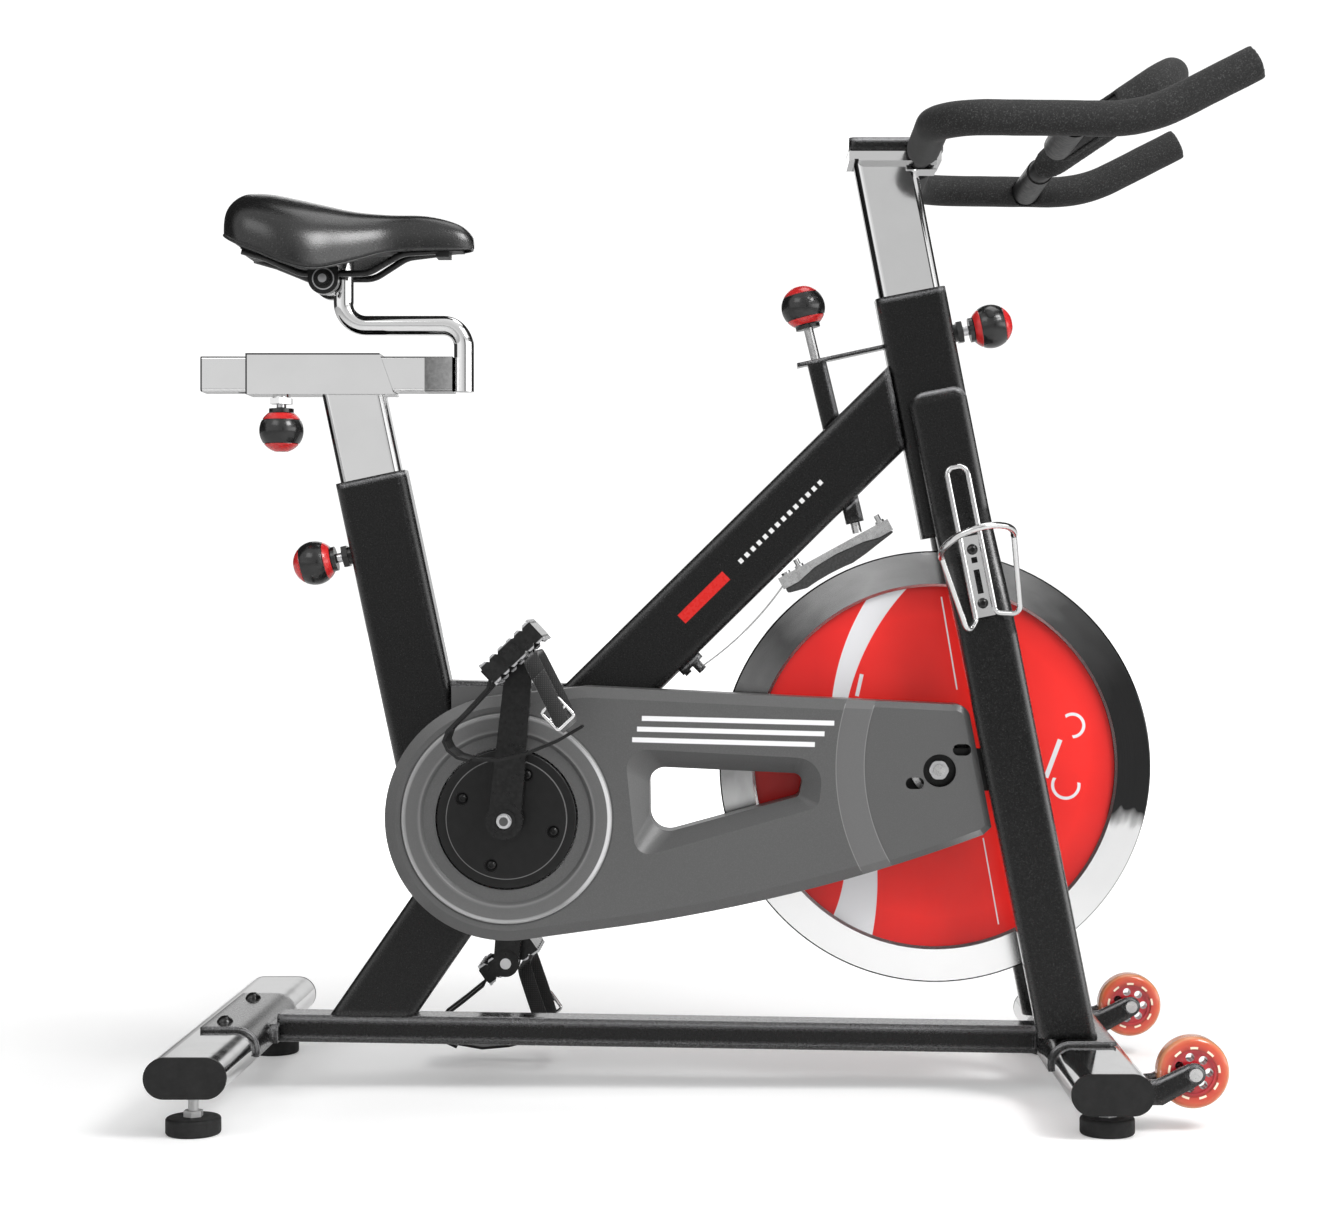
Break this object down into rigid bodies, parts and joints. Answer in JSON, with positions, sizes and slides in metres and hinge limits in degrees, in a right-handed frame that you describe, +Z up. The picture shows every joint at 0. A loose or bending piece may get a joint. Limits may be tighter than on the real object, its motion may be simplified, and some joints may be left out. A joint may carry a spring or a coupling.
{
  "type": "indoor spin bike",
  "caption": "Belt-driven indoor cycling bike with a red-faced flywheel, friction brake, adjustable saddle and foam handlebar, transport wheels at the front.",
  "frame": {"origin": "on the floor, midway between the rearmost and foremost points and on the bike's centre plane", "axes": "+X forward (handlebar side), +Y to the rider's left, +Z up"},
  "size_m": [1.0827, 0.5, 1.091],
  "materials": {
    "frame_black": "semi-gloss black powder coat with a fine sparkle",
    "chrome": "polished plating",
    "steel": "bright turned steel",
    "black_plastic": "fine-grained moulding",
    "gloss_black": "glossy moulding",
    "guard_grey": "satin silver-grey moulding",
    "foam": "closed-cell foam with a fine grain",
    "vinyl": "grained vinyl",
    "webbing": "woven strap",
    "felt": "pressed wool felt",
    "disc_red": "gloss paint",
    "roller_red": "translucent orange-red urethane",
    "rubber_black": "moulded rubber"
  },
  "bodies": {
    "frame": {"axle_plates": "steel", "base_beam": "frame_black", "bottle_cage": "steel", "bottom_bracket": "frame_black", "brake_mounts": "frame_black", "cross_tube": "frame_black", "drive_belt": "rubber_black", "flywheel_axle": "steel", "fork_leg_left": "frame_black", "fork_leg_right": "frame_black", "frame_fasteners": "steel", "front_bracket": "frame_black", "guard_inner": "guard_grey", "guard_outer": "guard_grey", "head_tube": "frame_black", "main_tube": "frame_black", "rear_bracket": "frame_black", "rear_stay": "frame_black", "roller_axles": "steel", "roller_forks": "frame_black", "seat_tube": "frame_black", "stabiliser_caps": "black_plastic", "stabiliser_tubes": "chrome", "tube_liners": "black_plastic"},
    "flywheel": {"flywheel_rim": "steel", "flywheel_disc": "disc_red", "flywheel_hub": "steel"},
    "crank": {"crank_arms": "frame_black", "crank_axles": "steel", "drive_pulley": "steel", "pulley_cover": "gloss_black"},
    "pedal_right": {"pedal_cage_right": "frame_black", "toe_clip_right": "black_plastic", "toe_strap_right": "webbing"},
    "pedal_left": {"pedal_cage_left": "frame_black", "toe_clip_left": "black_plastic", "toe_strap_left": "webbing"},
    "bar_post": {"head_post": "chrome", "bar_clamp": "frame_black", "handlebar_tube": "chrome", "handlebar_grips": "foam"},
    "seat_mast": {"seat_post": "chrome"},
    "seat_carriage": {"seat_slide": "chrome", "saddle_stem": "chrome"},
    "saddle": {"saddle_rails": "steel", "saddle_shell": "black_plastic", "saddle_pad": "vinyl"},
    "bar_pin": {"bar_height_knob": "gloss_black"},
    "seat_pin": {"seat_height_knob": "gloss_black"},
    "slide_pin": {"slide_knob": "gloss_black"},
    "brake_push_rod": {"brake_rod": "steel"},
    "brake_turn_knob": {"brake_knob": "gloss_black"},
    "brake_shoe": {"brake_carrier": "steel", "brake_pad": "felt"},
    "foot_rr": {"foot_rear_right": "rubber_black"},
    "foot_rl": {"foot_rear_left": "rubber_black"},
    "foot_fr": {"foot_front_right": "rubber_black"},
    "foot_fl": {"foot_front_left": "rubber_black"},
    "wheel_right": {"roller_right": "roller_red"},
    "wheel_left": {"roller_left": "roller_red"}
  },
  "joints": [
    {"name": "flywheel_spin", "type": "hinge", "parent": "frame", "child": "flywheel", "pos_m": [0.2368, 0, 0.3433], "axis": [0, 1, 0], "continuous": true},
    {"name": "crank_spin", "type": "hinge", "parent": "frame", "child": "crank", "pos_m": [-0.2092, 0, 0.2942], "axis": [0, 1, 0], "continuous": true},
    {"name": "pedal_right_spin", "type": "hinge", "parent": "crank", "child": "pedal_right", "pos_m": [-0.19243, -0.161, 0.46839], "axis": [0, 1, 0], "continuous": true},
    {"name": "pedal_left_spin", "type": "hinge", "parent": "crank", "child": "pedal_left", "pos_m": [-0.22597, 0.161, 0.12001], "axis": [0, 1, 0], "continuous": true},
    {"name": "bar_height", "type": "slide", "parent": "frame", "child": "bar_post", "axis": [-0.1908, 0, 0.9816], "range_m": [-0.1, 0.06]},
    {"name": "seat_height", "type": "slide", "parent": "frame", "child": "seat_mast", "axis": [-0.2079, 0, 0.9781], "range_m": [-0.06, 0.12]},
    {"name": "seat_reach", "type": "slide", "parent": "seat_mast", "child": "seat_carriage", "axis": [1, 0, 0], "range_m": [-0.05, 0.045]},
    {"name": "saddle_tilt", "type": "hinge", "parent": "seat_carriage", "child": "saddle", "pos_m": [-0.406, 0, 0.856], "axis": [0, 1, 0], "range_deg": [-8, 8]},
    {"name": "bar_pin_pull", "type": "slide", "parent": "frame", "child": "bar_pin", "axis": [0.9816, 0, 0.1908], "range_m": [0, 0.01], "stiffness_N_per_m": 800, "springref_m": -0.004},
    {"name": "seat_pin_pull", "type": "slide", "parent": "frame", "child": "seat_pin", "axis": [-0.9781, 0, -0.2079], "range_m": [0, 0.01], "stiffness_N_per_m": 800, "springref_m": -0.004},
    {"name": "slide_pin_pull", "type": "slide", "parent": "seat_mast", "child": "slide_pin", "axis": [0, 0, -1], "range_m": [0, 0.01], "stiffness_N_per_m": 800, "springref_m": -0.004},
    {"name": "brake_push", "type": "slide", "parent": "frame", "child": "brake_push_rod", "axis": [0.2334, 0, -0.9724], "range_m": [0, 0.0036], "stiffness_N_per_m": 3000, "springref_m": -0.003},
    {"name": "brake_turn", "type": "hinge", "parent": "brake_push_rod", "child": "brake_turn_knob", "pos_m": [0.111, 0, 0.775], "axis": [-0.2334, 0, 0.9724], "continuous": true},
    {"name": "brake_shoe_swing", "type": "hinge", "parent": "frame", "child": "brake_shoe", "pos_m": [-0.01106, 0, 0.44763], "axis": [0, 1, 0], "range_deg": [0, 0.944]},
    {"name": "foot_rr_turn", "type": "hinge", "parent": "frame", "child": "foot_rr", "pos_m": [-0.5014, -0.211, 0.02], "axis": [0, 0, 1], "continuous": true},
    {"name": "foot_rl_turn", "type": "hinge", "parent": "frame", "child": "foot_rl", "pos_m": [-0.5014, 0.211, 0.02], "axis": [0, 0, 1], "continuous": true},
    {"name": "foot_fr_turn", "type": "hinge", "parent": "frame", "child": "foot_fr", "pos_m": [0.3886, -0.211, 0.02], "axis": [0, 0, 1], "continuous": true},
    {"name": "foot_fl_turn", "type": "hinge", "parent": "frame", "child": "foot_fl", "pos_m": [0.3886, 0.211, 0.02], "axis": [0, 0, 1], "continuous": true},
    {"name": "wheel_right_spin", "type": "hinge", "parent": "frame", "child": "wheel_right", "pos_m": [0.474, -0.196, 0.058], "axis": [0, 1, 0], "continuous": true},
    {"name": "wheel_left_spin", "type": "hinge", "parent": "frame", "child": "wheel_left", "pos_m": [0.474, 0.196, 0.058], "axis": [0, 1, 0], "continuous": true}
  ],
  "couplings": [
    {"joint": "crank_spin", "follows": "flywheel_spin", "ratio": 0.33333},
    {"joint": "brake_shoe_swing", "follows": "brake_push", "rad_per_m": 4.5259}
  ]
}
